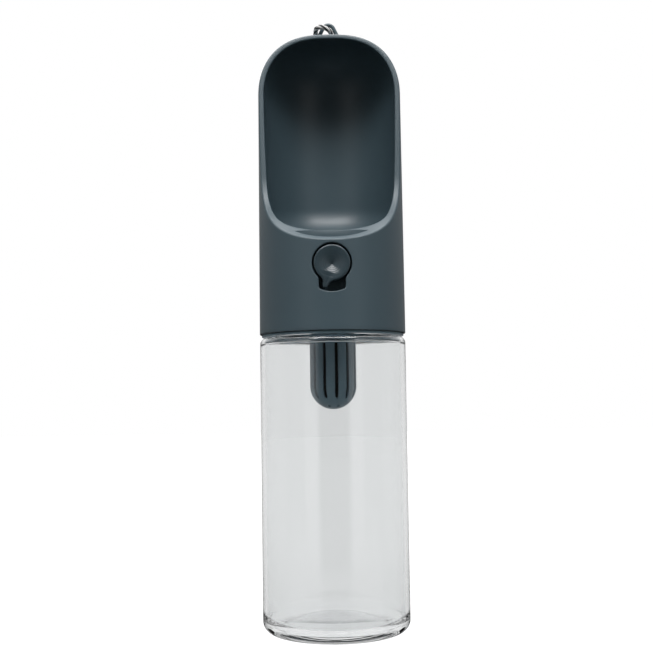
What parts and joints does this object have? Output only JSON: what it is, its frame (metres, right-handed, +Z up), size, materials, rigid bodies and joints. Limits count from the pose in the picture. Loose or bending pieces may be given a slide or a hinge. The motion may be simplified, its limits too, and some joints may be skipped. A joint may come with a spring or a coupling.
{
  "type": "dog travel water bottle",
  "caption": "Clear travel water bottle that screws into a hooded drinking scoop for a dog, with a turn-and-press water button, a filter cage inside and a wrist loop.",
  "frame": {"origin": "centre of the bottle's base, on the surface that it stands on", "axes": "+Z up along the bottle, the scoop's opening and the dial face -Y, +X to the right seen from the front"},
  "size_m": [0.0662, 0.0688, 0.2801],
  "materials": {
    "clear_bottle": "clear, polished",
    "shell_plastic": "satin blue-grey",
    "dial_plastic": "semi-gloss, turned dish",
    "closure_plastic": "satin",
    "cage_plastic": "satin",
    "valve_plastic": "natural moulded",
    "white_silicone": "matt",
    "grey_silicone": "matt",
    "black_rubber": "matt",
    "carbon_foam": "open-cell foam",
    "steel": "bright",
    "braided_cord": "black and white braid",
    "sleeve_plastic": "satin"
  },
  "bodies": {
    "bottle": {"bottle": "clear_bottle"},
    "thread_follower": {"neck_gasket": "grey_silicone"},
    "head": {"inner_cap": "closure_plastic", "cage_seal": "white_silicone", "vent_valve": "grey_silicone", "scoop_shell": "shell_plastic", "outlet_grommet": "grey_silicone", "valve_body": "valve_plastic", "inlet_seal": "black_rubber", "valve_screws": "steel", "gland_bush": "valve_plastic", "stem_seal": "black_rubber", "spring_cap": "valve_plastic", "spring_cap_seal": "black_rubber", "return_spring": "steel", "wrist_cord": "braided_cord", "cord_sleeve": "sleeve_plastic"},
    "filter": {"filter_cage": "cage_plastic", "filter_element": "carbon_foam"},
    "button": {"valve_stem": "valve_plastic", "poppet_seal": "black_rubber"},
    "dial": {"button_dial": "dial_plastic", "dial_clip": "steel"}
  },
  "joints": [
    {"name": "head_lift", "type": "slide", "parent": "bottle", "child": "thread_follower", "axis": [0, 0, 1], "range_m": [0, 0.005]},
    {"name": "head_turn", "type": "hinge", "parent": "thread_follower", "child": "head", "pos_m": [0, 0, 0.1375], "axis": [0, 0, 1], "range_deg": [0, 450]},
    {"name": "cage_pull", "type": "slide", "parent": "head", "child": "filter", "axis": [0, 0, -1], "range_m": [0, 0.013]},
    {"name": "button_press", "type": "slide", "parent": "head", "child": "button", "axis": [0, 1, 0], "range_m": [0, 0.0024], "stiffness_N_per_m": 600, "springref_m": -0.004, "deforming": ["return_spring"]},
    {"name": "dial_turn", "type": "hinge", "parent": "button", "child": "dial", "pos_m": [0, -0.0329, 0.1619], "axis": [0, -1, 0], "range_deg": [0, 34]}
  ],
  "couplings": [
    {"joint": "head_lift", "follows": "head_turn", "m_per_rad": 0.00063662}
  ]
}
